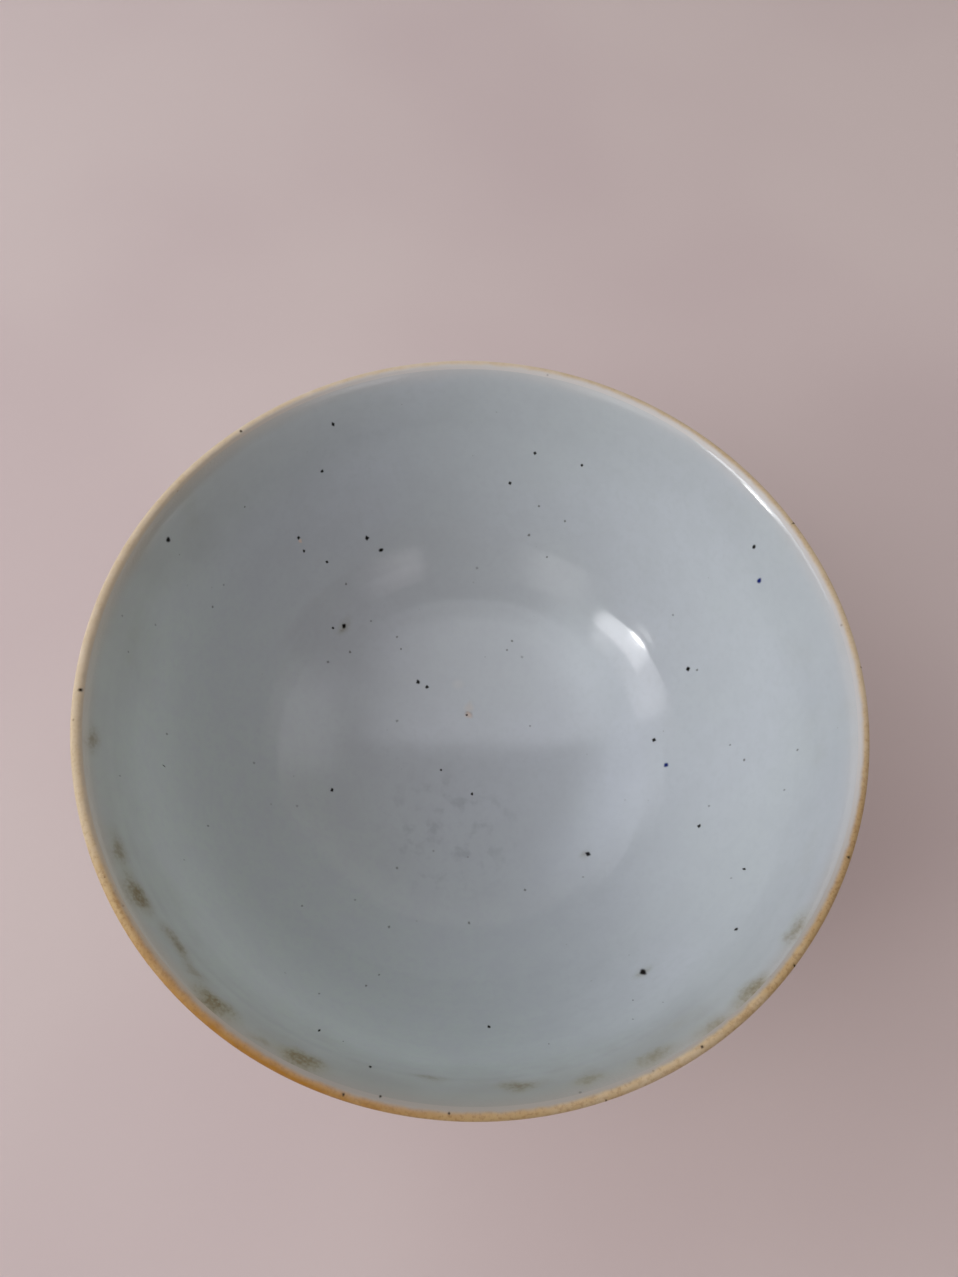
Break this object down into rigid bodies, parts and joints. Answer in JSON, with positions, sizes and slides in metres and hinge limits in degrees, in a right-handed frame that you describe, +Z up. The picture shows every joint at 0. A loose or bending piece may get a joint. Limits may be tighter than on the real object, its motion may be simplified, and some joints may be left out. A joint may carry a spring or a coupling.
{
  "type": "gaiwan bowl",
  "caption": "Open porcelain tea bowl of a gaiwan with a flared, iron-dressed lip, pale blue-white glaze and a turned foot ring.",
  "frame": {"origin": "on the bowl's axis, at the flat face of the foot ring that it stands on", "axes": "+Z up along the bowl's axis of turning, out of its mouth; X and Y level"},
  "size_m": [0.11, 0.11, 0.0552],
  "materials": {
    "porcelain": "bare fired porcelain, fine matt grain",
    "inside_glaze": "glossy pale blue-white glaze with iron specks",
    "outside_glaze": "glossy pale blue-white glaze",
    "base_glaze": "glossy pale blue-white glaze",
    "rim_dressing": "satin ochre iron wash"
  },
  "bodies": {
    "root": {"porcelain_body": "porcelain", "inside_glaze": "inside_glaze", "outside_glaze": "outside_glaze", "base_glaze": "base_glaze", "rim_dressing": "rim_dressing"}
  },
  "joints": []
}
